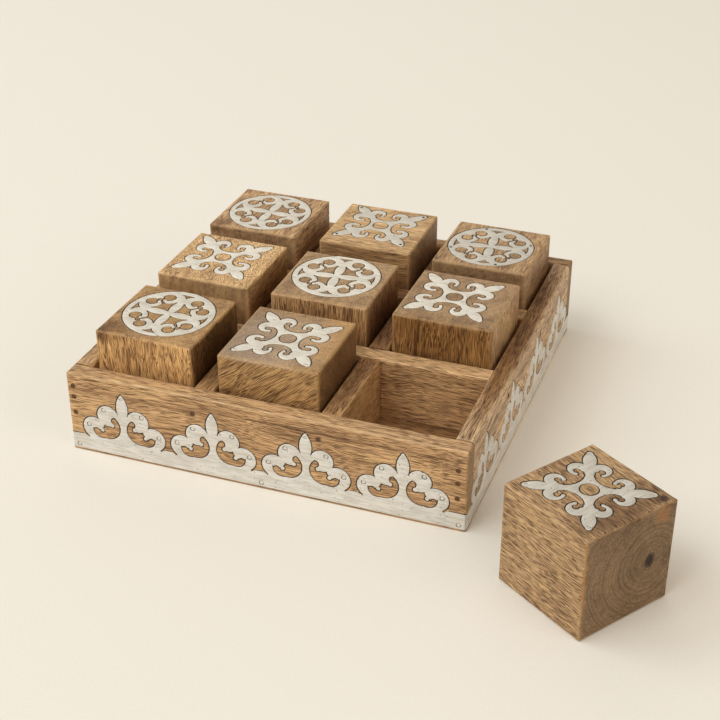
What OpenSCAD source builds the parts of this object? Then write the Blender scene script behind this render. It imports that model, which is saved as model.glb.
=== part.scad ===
// Tic-tac-toe set: a wooden tray with nine compartments and nine wooden cubes, five with a
// cross and four with a roundel, all inlaid with pierced sheet metal bedded in dark lac.
// Origin: centre of the tray's underside, on the table. +X right, +Y back, +Z up.

/* [Playing cubes] */
// Edge of a playing cube
cube_edge = 50; // [42:0.5:62]
// Rounding of the cube's upper and lower edges
cube_round = 1.4; // [0.5:0.1:2.4]
// Rounding of the cube's upright edges
upright_round = 1.3; // [0.5:0.1:4]
// Free play between a cube and each wall of its compartment
cell_play = 1.75; // [1:0.05:4]
// Largest turn of a cube in its compartment, in degrees
cell_turn = 1; // [0:0.1:1.2]
// Middle of the cube beside the tray: right of and in front of the tray's front right corner
loose_out = [56.6, 19.6]; // [18:0.1:120]
// Turn of the cube that stands beside the tray, in degrees
loose_turn = 55.8; // [0:0.1:90]

/* [Tray] */
// Thickness of the four outer boards
wall_t = 9; // [7:0.1:14]
// Thickness of the four dividers
divider_t = 9.7; // [6:0.1:14]
// Height of the tray
tray_h = 42.7; // [34:0.1:60]
// Thickness of the base panel
base_t = 10.9; // [7:0.1:14]
// Drop of the dividers below the top of the boards
divider_drop = 0.6; // [0:0.1:3]
// Rounding along the top edges of the boards
board_round = 1.6; // [0.5:0.1:3]
// Rounding along the top edges of the dividers
divider_round = 1.1; // [0.4:0.1:2.5]
// Rounding of the tray's upright corners
corner_round = 1.3; // [0.5:0.1:3]
// Play on each side of a halved crossing
lap_play = 0.2; // [0.05:0.05:0.5]
// Gap that keeps a resting cube clear of the wood around it
rest_gap = 0.3; // [0.1:0.05:0.5]

/* [Metal inlay] */
// Thickness of the inlaid sheet
sheet_t = 1; // [0.6:0.1:1.6]
// Thickness of the lac under the sheet
bed_t = 0.2; // [0.1:0.05:0.5]
// Width of the dark lac line around the sheet
lac_line = 0.55; // [0.2:0.05:0.6]
// Gap at the mitred corners of the border
mitre_gap = 0.12; // [0.05:0.01:0.3]
// Margin between a cube's side and its motif
motif_margin = 2.85; // [2:0.05:6]

/* [Border] */
// Height of the plain band
band_h = 8.3; // [5:0.1:12]
// Strip of wood under the band
band_lift = 1; // [0.3:0.1:2]
// Wood between the tip of a crest and the top of the board
crest_clear = 7.2; // [4:0.1:12]
// Smallest gap between two crests
crest_gap = 1.5; // [0.5:0.1:6]
// Length at each end of a side that the row of crests keeps clear
border_end = 6; // [4:0.1:12]
// Shift of the row of crests along its side: front, right, back, left
crest_shift = [-0.75, 0, 0, 0]; // [-1.5:0.05:1.5]

/* [Crest outline] */
// Height of a crest above the band, as drawn
crest_h = 26.2; // [20:0.1:30]
// Field behind the stem: half its width, its height, as drawn
crest_field = [8.8, 14.7]; // [4:0.1:20]
// Upper lobe: across, up, radius
upper_lobe = [7.9, 12.8, 5.6]; // [0:0.1:30]
// Lower lobe: across, up, radius
lower_lobe = [15.7, 4.8, 6]; // [0:0.1:30]
// Opening beside the stem: across, up, radius
stem_hole = [8.8, 7, 7.2]; // [0:0.1:30]
// Opening above the band: across, up, radius
foot_hole = [11.9, 4.3, 4.7]; // [0:0.1:30]
// Curl under the upper lobe: across, up, radius
upper_curl = [4.4, 10.6, 2.1]; // [0:0.1:30]
// Mouth of the upper curl: across, up, radius
upper_mouth = [3.9, 8.7, 2]; // [0:0.1:30]
// Hook of the lower lobe: across, up, radius
lower_hook = [14.2, 8.3, 4]; // [0:0.1:30]
// Curl under the lower hook: across, up, radius
lower_curl = [14.6, 3.4, 1.8]; // [0:0.1:30]
// Ball that ends the upper curl: across, up, radius
upper_ball = [5.9, 8, 1.05]; // [0:0.1:30]
// Ball that ends the lower hook: across, up, radius
lower_ball = [11.5, 4.4, 1]; // [0:0.1:30]
// Leaf: half its length, half its width
leaf = [7.5, 3]; // [1:0.1:12]
// Ball at the tip of the leaf: distance below the tip, radius
leaf_ball = [1.25, 0.95]; // [0.3:0.05:3]
// Nick at the foot of a crest: across at its mouth, across at its point, depth
foot_nick = [21.2, 18.9, 1.3]; // [0.5:0.1:30]

/* [Cross outline] */
// Radius of the wooden boss in the middle of the cross
boss_r = 4.35; // [2:0.05:6]
// Radius that the four stems reach
stem_reach = 16.8; // [12:0.1:20]
// Hollow between two stems: distance from the middle, radius
hollow = [15.6, 9.4]; // [6:0.1:18]
// Scroll: along the arm, across it, radius
scroll = [14.1, 4.9, 4.4]; // [0:0.05:20]
// Eye of the scroll: along the arm, across it, radius
scroll_eye = [12.8, 5.2, 1.65]; // [0:0.05:20]
// Throat of the scroll: along the arm, across it, radius
scroll_throat = [11.5, 3.65, 1.65]; // [0:0.05:20]
// Mouth of the scroll: along the arm, across it, radius
scroll_mouth = [9.8, 3.45, 1.6]; // [0:0.05:20]
// Ball that ends the scroll: along the arm, across it, radius
scroll_ball = [10.4, 5.7, 0.9]; // [0:0.05:20]
// Leaf of an arm: start and end along the arm, half its width
arm_leaf = [14.2, 27.6, 2.9]; // [0:0.05:30]
// Ball at the tip of the arm's leaf: along the arm, radius
arm_ball = [26.1, 1.35]; // [0:0.05:30]
// Pin of an arm: distance from the middle
arm_pin_at = 25.4; // [18:0.1:27]

/* [Roundel outline] */
// Radius of the roundel
roundel_r = 22.15; // [20:0.05:24]
// Petal: start and end from the middle, half its width
petal = [-1, 14, 2.45]; // [-2:0.05:16]
// Reach of the four diamonds
diamond = 11.2; // [8:0.1:12]
// Round opening: along the axis, across it, radius
eye = [13.95, 7.73, 3.25]; // [0:0.01:20]
// Radius of the scroll around a round opening
eye_scroll_r = 5.9; // [4:0.1:7]
// Slit from a diamond to its openings: start and end along the diagonal, half its width
slit = [10.8, 15.3, 0.8]; // [0.5:0.05:18]
// Joint of a slit and its two openings: radius
slit_end_r = 1.5; // [1:0.05:2]
// Ball that ends a scroll: along the axis, across it, radius
eye_ball = [10.6, 8.7, 0.9]; // [0:0.05:20]
// Inner radius of the rim
rim_r = 19.5; // [17:0.05:21]
// Gusset in the rim: distance of its point from the middle, half its opening angle
gusset = [15.9, 56]; // [10:0.1:60]
// Circle that hollows a gusset's side: along the axis, across it, radius
gusset_side = [13.86, 4.7, 5]; // [0:0.01:20]
// Pin of the roundel: distance from the middle, angle from the axis
rim_pin_at = [20.85, 17]; // [0:0.05:45]

/* [Pins and nails] */
// Diameter of the pins in the border
pin_d = 2.4; // [1.6:0.1:3]
// Wood between the end of a border pin and the nail behind it
nail_miss = 0.5; // [0.3:0.1:1.2]
// Diameter of the fine pins in the leaf tips and in the cubes
fine_pin_d = 1.4; // [1:0.1:1.6]
// Length of the fine pins in the cubes
fine_pin_l = 5; // [3:0.1:7]
// Clearance around a pin or a nail
pin_clear = 0.04; // [0.02:0.01:0.1]
// Place of the pins in a lobe, across and up from the lobe's centre: upper lobe, lower lobe
lobe_pins = [[2.1, 2.9], [2.8, 1.4]]; // [-5:0.1:5]
// Distance of the end pins from the tray's corner
end_pin_in = 3.5; // [2.6:0.1:8]
// Height of the band pins: front and back, left and right
band_pin_z = [2.9, 6]; // [1.8:0.1:9]
// Diameter of a nail's head and of its shank
nail_d = [2.3, 1.5]; // [1:0.1:4]
// Thickness of a nail's head
nail_head_t = 1; // [0.5:0.1:2]
// Length of a nail
nail_l = 28; // [18:1:40]
// Depth of a nail's head under the face of the board
nail_sink = 0.3; // [0:0.05:1]
// Distance of the corner nails from the tray's side: left end of a board, right end
corner_nails_in = [3.4, 4.5]; // [3:0.1:6]
// Distances of the corner nails below the top of the board: left end, right end
corner_nails_down = [[7.1, 13, 21.7], [10.5, 17.4, 25.5]]; // [3:0.1:40]
// Distance of the divider nails below the top of the board
divider_nails_down = 9.2; // [3:0.1:20]
// Places of the divider nails along the board, off the middle of the divider: left one, right one
divider_nails_off = [-1.7, -2.7]; // [-3:0.1:3]

/* [Hidden] */
$fn = 64;
eps = 0.01;
wood = [0.66, 0.46, 0.27];
dark_wood = [0.55, 0.36, 0.2];
metal = [0.78, 0.76, 0.71];
lac = [0.13, 0.09, 0.06];
iron = [0.2, 0.17, 0.15];

cell = cube_edge + 2 * cell_play;
pitch = cell + divider_t;
inner = 3 * cell + 2 * divider_t;
tray_w = inner + 2 * wall_t;
divider_top = tray_h - divider_drop;
lap_z = (base_t + divider_top) / 2;
pocket_t = sheet_t + bed_t;
band_top = band_lift + band_h;
nail_hole_d = [for (d = nail_d) d + 2 * pin_clear];
pin_l = min(corner_nails_in) - nail_d[1] / 2 - nail_miss;

// A crest is drawn in its own millimetres and fills the height that the board leaves for it.
crest_k = (tray_h - crest_clear - band_top) / crest_h;
crest_w = 2 * (lower_lobe[0] + lower_lobe[2]) * crest_k;
crests = floor((tray_w - 2 * border_end) / (crest_w + crest_gap));
crest_pitch = (tray_w - 2 * border_end) / crests;

// A motif is drawn for the roundel's radius and fills the cube's face up to its margin.
motif_k = (cube_edge / 2 - motif_margin) / roundel_r;

// What a cube may slide each way in its compartment when it is also turned.
cell_slide = cell_play - rest_gap - cube_edge / 2 * sin(cell_turn);

// Cubes: column, row, slide across and back and turn as shares of the play (-1 to 1),
// then the motif's place across and back from the middle of the face, and its turn.
O1 = [-1, -1, 0.8, 0.5, -0.9, 0, 2.1, -3.4];
O2 = [0, 0, -0.5, 0.5, 0.5, -0.6, 2.8, 4.6];
O3 = [-1, 1, 1, -1, -0.3, -0.1, 0, -3];
O4 = [1, 1, -0.1, -1, -0.6, -0.7, 0.2, 5.5];
X1 = [0, -1, 0.2, -0.2, 0.2, 0, -0.1, -3];
X2 = [-1, 0, 0.9, 1, -0.6, -1.2, 2.1, -0.5];
X3 = [1, 0, -0.5, 0.7, -0.4, -1.8, 1.8, -1];
X4 = [0, 1, 0.3, 0.7, 0.1, -0.3, 2.7, -1.6];
X5 = [0, 0, 0, 0, 0, 0.3, 1, 1];

// Plain shapes

module spot(s, grow = 0) {
    translate([s[0], s[1]]) circle(s[2] + grow);
}

module both_sides(v) {
    children();
    mirror(v) children();
}

module quarters() {
    for (a = [0 : 90 : 270]) rotate(a) children();
}

// Almond on the x axis: a[0] and a[1] are its ends, a[2] is half its width.
module almond(a, grow = 0) {
    half_l = (a[1] - a[0]) / 2;
    r = (half_l * half_l + a[2] * a[2]) / (2 * a[2]);
    mid = (a[0] + a[1]) / 2;
    intersection() {
        translate([mid, r - a[2]]) circle(r + grow);
        translate([mid, a[2] - r]) circle(r + grow);
    }
}

// Rectangle of w by h about the middle, all four corners rounded.
module rounded_rect(w, h, r) {
    square([w, h - 2 * r], center = true);
    square([w - 2 * r, h], center = true);
    for (x = [-1, 1], y = [-1, 1]) translate([x * (w / 2 - r), y * (h / 2 - r)]) circle(r);
}

// Rectangle of w by h on the x axis, only its two upper corners rounded.
module round_topped(w, h, r) {
    translate([-w / 2, 0]) square([w, h - r]);
    translate([r - w / 2, 0]) square([w - 2 * r, h]);
    for (x = [-1, 1]) translate([x * (w / 2 - r), h - r]) circle(r);
}

// Motifs. Each is the outline of the sheet; grow moves the whole outline outwards.

module cross(grow = 0) {
    difference() {
        union() {
            difference() {
                circle(stem_reach + grow);
                quarters() translate([hollow[0], 0]) circle(hollow[1] - grow);
            }
            rotate(45) quarters() cross_arm(grow);
        }
        circle(boss_r - grow);
    }
}

module cross_arm(grow) {
    both_sides([0, 1]) {
        difference() {
            spot(scroll, grow);
            spot(scroll_eye, -grow);
            spot(scroll_throat, -grow);
            spot(scroll_mouth, -grow);
        }
        spot(scroll_ball, grow);
    }
    almond(arm_leaf, grow);
    translate([arm_ball[0], 0]) circle(arm_ball[1] + grow);
}

module roundel(grow = 0) {
    difference() {
        circle(roundel_r + grow);
        quarters() {
            difference() {
                union() {
                    diamond_hole(grow);
                    both_openings() spot(eye, -grow);
                    slit_hole(grow);
                }
                both_openings() spot(eye_ball, grow);
            }
            gusset_hole(grow);
        }
    }
}

// The two openings of a quarter are alike about its diagonal.
module both_openings() {
    children();
    mirror([1, -1]) children();
}

module diamond_hole(grow) {
    difference() {
        square(diamond - grow);
        both_openings() {
            almond(petal, grow);
            translate([eye[0], eye[1]]) circle(eye_scroll_r + grow);
        }
    }
}

module slit_hole(grow) {
    rotate(45) {
        translate([slit[0], grow - slit[2]]) square([slit[1] - slit[0], 2 * (slit[2] - grow)]);
        translate([slit[1], 0]) circle(slit_end_r - grow);
    }
}

module gusset_hole(grow) {
    point = gusset[0] + grow / sin(gusset[1]);
    depth = rim_r - point;
    difference() {
        intersection() {
            circle(rim_r - grow);
            polygon([
                [point, 0],
                [point + 2 * depth, 2 * depth * tan(gusset[1])],
                [point + 2 * depth, -2 * depth * tan(gusset[1])]
            ]);
        }
        both_sides([0, 1]) spot(gusset_side, grow);
    }
}

// One half of a crest, drawn from the leaf's middle line and up from the band's top edge.
module crest_half(grow) {
    difference() {
        union() {
            spot(upper_lobe, grow);
            spot(lower_lobe, grow);
            translate([0, -grow]) square([crest_field[0], crest_field[1] + grow]);
            translate([0, -band_h / 2]) square([crest_field[0] + lower_lobe[2], band_h / 2]);
        }
        spot(stem_hole, -grow);
        spot(foot_hole, -grow);
    }
    difference() {
        spot(upper_lobe, grow);
        spot(upper_curl, -grow);
        spot(upper_mouth, -grow);
    }
    difference() {
        intersection() {
            spot(lower_hook, grow);
            spot(lower_lobe, grow);
        }
        spot(lower_curl, -grow);
    }
    spot(upper_ball, grow);
    spot(lower_ball, grow);
}

module crest(grow) {
    both_sides([1, 0]) crest_half(grow);
    translate([0, crest_h - leaf[0]]) rotate(90) almond([-leaf[0], leaf[0], leaf[1]], grow);
    translate([0, crest_h - leaf_ball[0]]) circle(leaf_ball[1] + grow);
}

// What the crests leave open in the band: the feet of their openings and the nicks.
module crest_cuts(grow) {
    both_sides([1, 0]) {
        spot(stem_hole, -grow);
        spot(foot_hole, -grow);
        polygon([
            [foot_nick[0] + 2 * grow, grow],
            [foot_nick[1] + 2 * grow, grow],
            [foot_nick[1] + grow / 2, grow - foot_nick[2]]
        ]);
    }
}

// Sides are counted from the front, to the right: 0 front, 1 right, 2 back, 3 left.
function crest_at(n, i) = (i - (crests - 1) / 2) * crest_pitch + crest_shift[n];

module each_crest(n) {
    for (i = [0 : crests - 1]) translate([crest_at(n, i), band_top]) scale(crest_k) children();
}

// Border of one side, drawn flat: across the side and up from the table.
module border_outline(n, grow = 0) {
    difference() {
        translate([-tray_w / 2, band_lift]) square([tray_w, band_h + grow]);
        each_crest(n) crest_cuts(grow / crest_k);
    }
    each_crest(n) crest(grow / crest_k);
}

// Places of the pins on one side, across and up.
function border_pin_places(n) = concat([
    for (i = [0 : crests - 1], s = [-1, 1], j = [0, 1])
        let (lobe = j == 0 ? upper_lobe : lower_lobe)
        [
            crest_at(n, i) + s * (lobe[0] + lobe_pins[j][0]) * crest_k,
            band_top + (lobe[1] + lobe_pins[j][1]) * crest_k
        ]
], [
    for (x = [-1, 0, 1]) [x * (tray_w / 2 - end_pin_in), band_pin_z[n % 2]]
]);
function leaf_pin_places(n) = [
    for (i = [0 : crests - 1])
        [crest_at(n, i), band_top + (crest_h - 2 * leaf_ball[0]) * crest_k]
];

// Tray parts

module side(n) {
    rotate(90 * n) children();
}

// Lays a flat shape on the front, t deep from the face.
module on_front(t) {
    translate([0, t - tray_w / 2, 0]) rotate([90, 0, 0]) linear_extrude(t) children();
}

// Drives a row of round bars into the front.
module into_front(places, d, l, sink = 0) {
    for (p = places)
        translate([p[0], sink + l - tray_w / 2, p[1]]) rotate([90, 0, 0]) cylinder(d = d, h = l);
}

// The part of the corner that belongs to the front, up to the mitre.
module mitred(gap) {
    reach = tray_w / 2;
    intersection() {
        children();
        linear_extrude(tray_h) polygon([[0, -gap], [-reach - eps, -reach - eps - gap],
            [reach + eps, -reach - eps - gap]]);
    }
}

module tray_outline(h) {
    linear_extrude(h) rounded_rect(tray_w, tray_w, corner_round);
}

module border_pocket(n) {
    side(n) {
        on_front(pocket_t) border_outline(n, lac_line);
        into_front(border_pin_places(n), pin_d + 2 * pin_clear, pin_l + pin_clear);
        into_front(leaf_pin_places(n), fine_pin_d + 2 * pin_clear, pin_l + pin_clear);
    }
}

module border_sheet(n) {
    side(n) difference() {
        intersection() {
            mitred(mitre_gap) on_front(sheet_t) border_outline(n);
            tray_outline(tray_h);
        }
        into_front(border_pin_places(n), pin_d + 2 * pin_clear, pin_l);
        into_front(leaf_pin_places(n), fine_pin_d + 2 * pin_clear, pin_l);
    }
}

module border_lac(n) {
    side(n) difference() {
        intersection() {
            mitred(0) on_front(pocket_t) border_outline(n, lac_line);
            tray_outline(tray_h);
        }
        mitred(mitre_gap) on_front(sheet_t) border_outline(n);
        into_front(border_pin_places(n), pin_d + 2 * pin_clear, pin_l);
        into_front(leaf_pin_places(n), fine_pin_d + 2 * pin_clear, pin_l);
    }
}

function corner_nail_places() = [
    for (e = [0, 1], down = corner_nails_down[e])
        [(2 * e - 1) * (tray_w / 2 - corner_nails_in[e]), tray_h - down]
];
function divider_nail_places() = [
    for (e = [0, 1]) [(2 * e - 1) * pitch / 2 + divider_nails_off[e], tray_h - divider_nails_down]
];

// A nail's hole is open to the face; the nail itself is sunk a little.
module nail_holes(places) {
    into_front(places, nail_hole_d[0], nail_head_t + pin_clear + nail_sink);
    into_front(places, nail_hole_d[1], nail_l + nail_sink + pin_clear);
}

module nails(places) {
    into_front(places, nail_d[0], nail_head_t, nail_sink);
    into_front(places, nail_d[1], nail_l, nail_sink);
}

module all_nail_holes() {
    for (n = [0, 2]) side(n) nail_holes(corner_nail_places());
    for (n = [0 : 3]) side(n) nail_holes(divider_nail_places());
}

// Board of l by t that stands on the table, along x, its top edges rounded.
module board(l) {
    intersection() {
        rotate([90, 0, 90]) translate([0, 0, -l / 2]) linear_extrude(l)
            round_topped(wall_t, tray_h, board_round);
        linear_extrude(tray_h) square([l, wall_t], center = true);
    }
}

// The front and the back run over the full width and cover the ends of the side boards.
module long_board(n) {
    color(wood) difference() {
        intersection() {
            side(n) translate([0, (wall_t - tray_w) / 2, 0]) board(tray_w);
            tray_outline(tray_h);
            side(n) translate([0, -tray_w / 2, 0]) rotate([90, 0, 0])
                translate([0, 0, -wall_t - eps]) linear_extrude(wall_t + 2 * eps)
                round_topped(tray_w, tray_h, board_round);
        }
        for (m = [n, n + 1, n + 3]) border_pocket(m % 4);
        all_nail_holes();
    }
}

module short_board(n) {
    color(wood) difference() {
        side(n) translate([0, (wall_t - tray_w) / 2, 0]) board(tray_w - 2 * wall_t);
        border_pocket(n);
        all_nail_holes();
    }
}

module base_panel() {
    color(dark_wood) linear_extrude(base_t) square(inner, center = true);
}

// Divider along x; slot is 1 for slots from the top and -1 for slots from below.
module divider(slot) {
    slot_w = divider_t + 2 * lap_play;
    slot_h = divider_top - lap_z + lap_play;
    difference() {
        translate([0, 0, base_t]) rotate([90, 0, 90]) translate([0, 0, -inner / 2])
            linear_extrude(inner) round_topped(divider_t, divider_top - base_t, divider_round);
        for (x = [-1, 1]) translate([x * pitch / 2, 0, lap_z + slot * (slot_h / 2 - lap_play / 2)])
            cube([slot_w, divider_t + 1, slot_h + lap_play], center = true);
    }
}

module long_divider(y) {
    color(wood) difference() {
        translate([0, y * pitch / 2, 0]) divider(-1);
        all_nail_holes();
    }
}

module cross_divider(x) {
    color(wood) difference() {
        translate([x * pitch / 2, 0, 0]) rotate(90) divider(1);
        all_nail_holes();
    }
}

module border_pins() {
    color(metal) for (n = [0 : 3]) side(n) {
        into_front(border_pin_places(n), pin_d, pin_l);
        into_front(leaf_pin_places(n), fine_pin_d, pin_l);
    }
}

module corner_nails() {
    color(iron) for (n = [0, 2]) side(n) nails(corner_nail_places());
}

module divider_nails() {
    color(iron) for (n = [0 : 3]) side(n) nails(divider_nail_places());
}

// Cube parts

module at_compartment(c) {
    translate([
        c[0] * pitch + c[2] * cell_slide,
        c[1] * pitch + c[3] * cell_slide,
        base_t + rest_gap
    ]) rotate(c[4] * cell_turn) children();
}

module beside_tray() {
    translate([tray_w / 2 + loose_out[0], -tray_w / 2 - loose_out[1], 0]) rotate(loose_turn) children();
}

// Brings a motif's level to the top of the cube, at its place on the face.
module on_top(c, t) {
    translate([c[5], c[6], cube_edge - t]) rotate(c[7]) children();
}

module motif(kind, grow = 0) {
    scale(motif_k) {
        if (kind == "cross") cross(grow / motif_k);
        if (kind == "roundel") roundel(grow / motif_k);
    }
}

function motif_pins(kind) = [
    for (q = [0 : 90 : 270])
        let (r = kind == "cross" ? arm_pin_at : rim_pin_at[0], a = kind == "cross" ? 45 : rim_pin_at[1])
        motif_k * r * [cos(q + a), sin(q + a)]
];

module motif_pin_bars(c, kind, d, l) {
    on_top(c, l) for (p = motif_pins(kind)) translate([p[0], p[1], 0]) cylinder(d = d, h = l);
}

// The block before anything is cut into it; its upright edges are rounder than the others.
module plain_block() {
    intersection() {
        linear_extrude(cube_edge) rounded_rect(cube_edge, cube_edge, upright_round);
        translate([0, 0, cube_edge / 2]) rotate([90, 0, 0])
            linear_extrude(cube_edge + 1, center = true)
            rounded_rect(cube_edge, cube_edge, cube_round);
        translate([0, 0, cube_edge / 2]) rotate([0, 90, 0])
            linear_extrude(cube_edge + 1, center = true)
            rounded_rect(cube_edge, cube_edge, cube_round);
    }
}

module cube_block(c, kind) {
    color(wood) difference() {
        plain_block();
        on_top(c, pocket_t) linear_extrude(pocket_t + 1) motif(kind, lac_line);
        motif_pin_bars(c, kind, fine_pin_d + 2 * pin_clear, fine_pin_l + pin_clear);
    }
}

module cube_sheet(c, kind) {
    color(metal) difference() {
        intersection() {
            on_top(c, sheet_t) linear_extrude(sheet_t) motif(kind);
            plain_block();
        }
        motif_pin_bars(c, kind, fine_pin_d + 2 * pin_clear, fine_pin_l);
    }
}

module cube_lac(c, kind) {
    color(lac) difference() {
        intersection() {
            on_top(c, pocket_t) linear_extrude(pocket_t) motif(kind, lac_line);
            plain_block();
        }
        on_top(c, sheet_t) linear_extrude(sheet_t + 1) motif(kind);
        motif_pin_bars(c, kind, fine_pin_d + 2 * pin_clear, fine_pin_l);
    }
}

module cube_pins(c, kind) {
    color(metal) motif_pin_bars(c, kind, fine_pin_d, fine_pin_l);
}

base_panel();
long_board(0);  // front_board
short_board(1);  // right_board
long_board(2);  // back_board
short_board(3);  // left_board
long_divider(-1);  // front_divider
long_divider(1);  // back_divider
cross_divider(-1);  // left_divider
cross_divider(1);  // right_divider
color(metal) border_sheet(0);  // front_border
color(metal) border_sheet(1);  // right_border
color(metal) border_sheet(2);  // back_border
color(metal) border_sheet(3);  // left_border
color(lac) border_lac(0);  // front_border_lac
color(lac) border_lac(1);  // right_border_lac
color(lac) border_lac(2);  // back_border_lac
color(lac) border_lac(3);  // left_border_lac
border_pins();
corner_nails();
divider_nails();
at_compartment(O1) cube_block(O1, "roundel");  // o_cube_1_block
at_compartment(O1) cube_lac(O1, "roundel");  // o_cube_1_lac
at_compartment(O1) cube_sheet(O1, "roundel");  // o_cube_1_roundel
at_compartment(O1) cube_pins(O1, "roundel");  // o_cube_1_pins
at_compartment(O2) cube_block(O2, "roundel");  // o_cube_2_block
at_compartment(O2) cube_lac(O2, "roundel");  // o_cube_2_lac
at_compartment(O2) cube_sheet(O2, "roundel");  // o_cube_2_roundel
at_compartment(O2) cube_pins(O2, "roundel");  // o_cube_2_pins
at_compartment(O3) cube_block(O3, "roundel");  // o_cube_3_block
at_compartment(O3) cube_lac(O3, "roundel");  // o_cube_3_lac
at_compartment(O3) cube_sheet(O3, "roundel");  // o_cube_3_roundel
at_compartment(O3) cube_pins(O3, "roundel");  // o_cube_3_pins
at_compartment(O4) cube_block(O4, "roundel");  // o_cube_4_block
at_compartment(O4) cube_lac(O4, "roundel");  // o_cube_4_lac
at_compartment(O4) cube_sheet(O4, "roundel");  // o_cube_4_roundel
at_compartment(O4) cube_pins(O4, "roundel");  // o_cube_4_pins
at_compartment(X1) cube_block(X1, "cross");  // x_cube_1_block
at_compartment(X1) cube_lac(X1, "cross");  // x_cube_1_lac
at_compartment(X1) cube_sheet(X1, "cross");  // x_cube_1_cross
at_compartment(X1) cube_pins(X1, "cross");  // x_cube_1_pins
at_compartment(X2) cube_block(X2, "cross");  // x_cube_2_block
at_compartment(X2) cube_lac(X2, "cross");  // x_cube_2_lac
at_compartment(X2) cube_sheet(X2, "cross");  // x_cube_2_cross
at_compartment(X2) cube_pins(X2, "cross");  // x_cube_2_pins
at_compartment(X3) cube_block(X3, "cross");  // x_cube_3_block
at_compartment(X3) cube_lac(X3, "cross");  // x_cube_3_lac
at_compartment(X3) cube_sheet(X3, "cross");  // x_cube_3_cross
at_compartment(X3) cube_pins(X3, "cross");  // x_cube_3_pins
at_compartment(X4) cube_block(X4, "cross");  // x_cube_4_block
at_compartment(X4) cube_lac(X4, "cross");  // x_cube_4_lac
at_compartment(X4) cube_sheet(X4, "cross");  // x_cube_4_cross
at_compartment(X4) cube_pins(X4, "cross");  // x_cube_4_pins
beside_tray() cube_block(X5, "cross");  // x_cube_5_block
beside_tray() cube_lac(X5, "cross");  // x_cube_5_lac
beside_tray() cube_sheet(X5, "cross");  // x_cube_5_cross
beside_tray() cube_pins(X5, "cross");  // x_cube_5_pins
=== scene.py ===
# Tic-tac-toe tray with nine inlaid cubes: the look of every piece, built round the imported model.
import logging
import math
from dataclasses import dataclass, field
from enum import Enum
from functools import partial

import bmesh
import bpy
from mathutils import Euler, Matrix, Vector


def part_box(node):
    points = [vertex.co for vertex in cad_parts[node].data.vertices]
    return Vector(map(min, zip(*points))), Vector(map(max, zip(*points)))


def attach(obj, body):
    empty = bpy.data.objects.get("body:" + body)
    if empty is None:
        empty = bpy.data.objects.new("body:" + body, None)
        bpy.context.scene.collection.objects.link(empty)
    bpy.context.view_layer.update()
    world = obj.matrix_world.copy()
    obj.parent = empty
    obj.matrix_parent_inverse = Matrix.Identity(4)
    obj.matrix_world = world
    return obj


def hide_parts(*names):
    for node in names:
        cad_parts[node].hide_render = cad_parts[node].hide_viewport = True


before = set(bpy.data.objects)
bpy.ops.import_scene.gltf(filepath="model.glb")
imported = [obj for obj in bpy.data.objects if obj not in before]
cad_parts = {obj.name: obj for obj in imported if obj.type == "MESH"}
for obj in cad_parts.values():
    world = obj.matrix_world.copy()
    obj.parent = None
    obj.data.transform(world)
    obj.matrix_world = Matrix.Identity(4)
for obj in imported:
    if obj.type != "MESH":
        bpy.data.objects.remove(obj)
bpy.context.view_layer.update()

log = logging.getLogger("tic_tac_toe_tray")

MM = 0.001
MERGE = 2e-6  # corners nearer than this are one, in metres
FLUSH = 1e-5  # how near a face's level a corner counts as lying in it, in metres
UP = Vector((0.0, 0.0, 1.0))
NAILS = ("corner_nails", "divider_nails")
Colour = tuple[float, float, float, float]
Triple = tuple[float, float, float]
Feed = bpy.types.NodeSocket | float | tuple[float, ...]


def swatch(red: int, green: int, blue: int) -> Colour:
    """Linear colour of a swatch given by its three screen values.

    Args:
        red: Red of the swatch, 0 to 255.
        green: Green of the swatch, 0 to 255.
        blue: Blue of the swatch, 0 to 255.

    Returns:
        The colour as Blender's sockets take it, with full alpha.
    """
    linear = []
    for value in (red, green, blue):
        share = value / 255
        linear.append(share / 12.92 if share <= 0.04045 else ((share + 0.055) / 1.055) ** 2.4)
    return (linear[0], linear[1], linear[2], 1.0)


# Wiring of materials


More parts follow.
